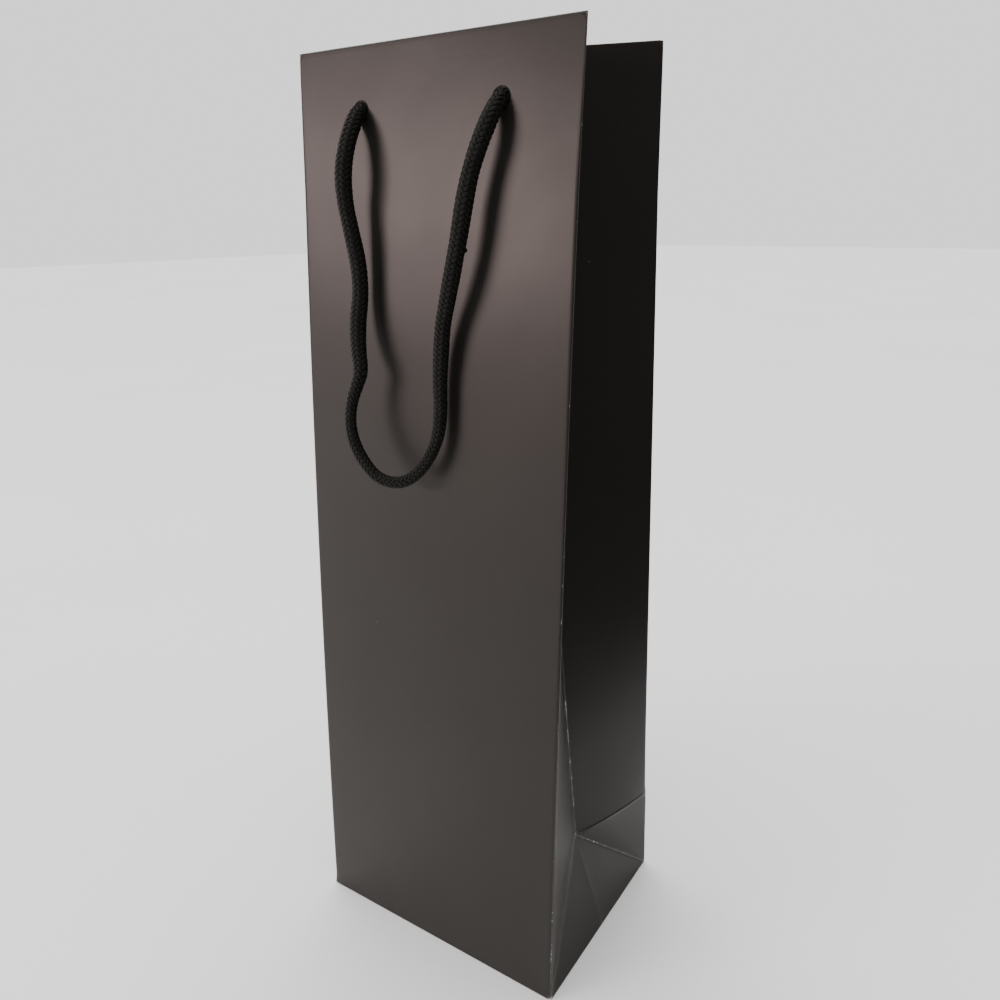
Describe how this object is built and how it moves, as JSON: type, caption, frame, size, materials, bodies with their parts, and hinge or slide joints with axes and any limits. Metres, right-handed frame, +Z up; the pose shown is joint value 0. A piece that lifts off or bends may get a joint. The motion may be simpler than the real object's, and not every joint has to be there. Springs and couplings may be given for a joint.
{
  "type": "wine gift bag",
  "caption": "Tall gusseted paper carrier for one bottle, standing open, with a creased base, a turned-in reinforced mouth and swinging rope handles.",
  "frame": {"origin": "centre of the base, on the surface the bag stands on", "axes": "+Z up through the mouth, +X to the right across the front panel, +Y from the front panel to the back panel"},
  "size_m": [0.12, 0.103, 0.3598],
  "materials": {
    "black_paper": "matte laminated black card paper, white inside, about 250 g/m2",
    "grey_board": "plain solid greyboard",
    "base_board": "white-lined solid board",
    "black_rope": "soft braided black polypropylene rope"
  },
  "bodies": {
    "bag": {"front_panel": "black_paper", "back_panel": "black_paper", "back_foot": "black_paper", "right_gusset_front": "black_paper", "right_gusset_back": "black_paper", "right_corner_fold": "black_paper", "right_base_gusset": "black_paper", "left_gusset_front": "black_paper", "left_gusset_back": "black_paper", "left_corner_fold": "black_paper", "left_base_gusset": "black_paper", "front_base_flap": "black_paper", "back_base_flap": "black_paper", "right_base_flap": "black_paper", "left_base_flap": "black_paper", "glue_lap": "black_paper", "front_hem": "black_paper", "back_hem": "black_paper", "right_hem_front": "black_paper", "right_hem_back": "black_paper", "left_hem_front": "black_paper", "left_hem_back": "black_paper", "front_card": "grey_board", "back_card": "grey_board", "base_board": "base_board", "front_left_knot": "black_rope", "front_right_knot": "black_rope", "back_left_knot": "black_rope", "back_right_knot": "black_rope"},
    "front_handle": {"front_handle_cord": "black_rope"},
    "back_handle": {"back_handle_cord": "black_rope"}
  },
  "joints": [
    {"name": "front_handle_lift", "type": "hinge", "parent": "bag", "child": "front_handle", "pos_m": [0, -0.02877, 0.338], "axis": [-1, 0, 0], "range_deg": [0, 145]},
    {"name": "back_handle_lift", "type": "hinge", "parent": "bag", "child": "back_handle", "pos_m": [0, 0.03441, 0.338], "axis": [1, 0, 0], "range_deg": [0, 155]}
  ]
}
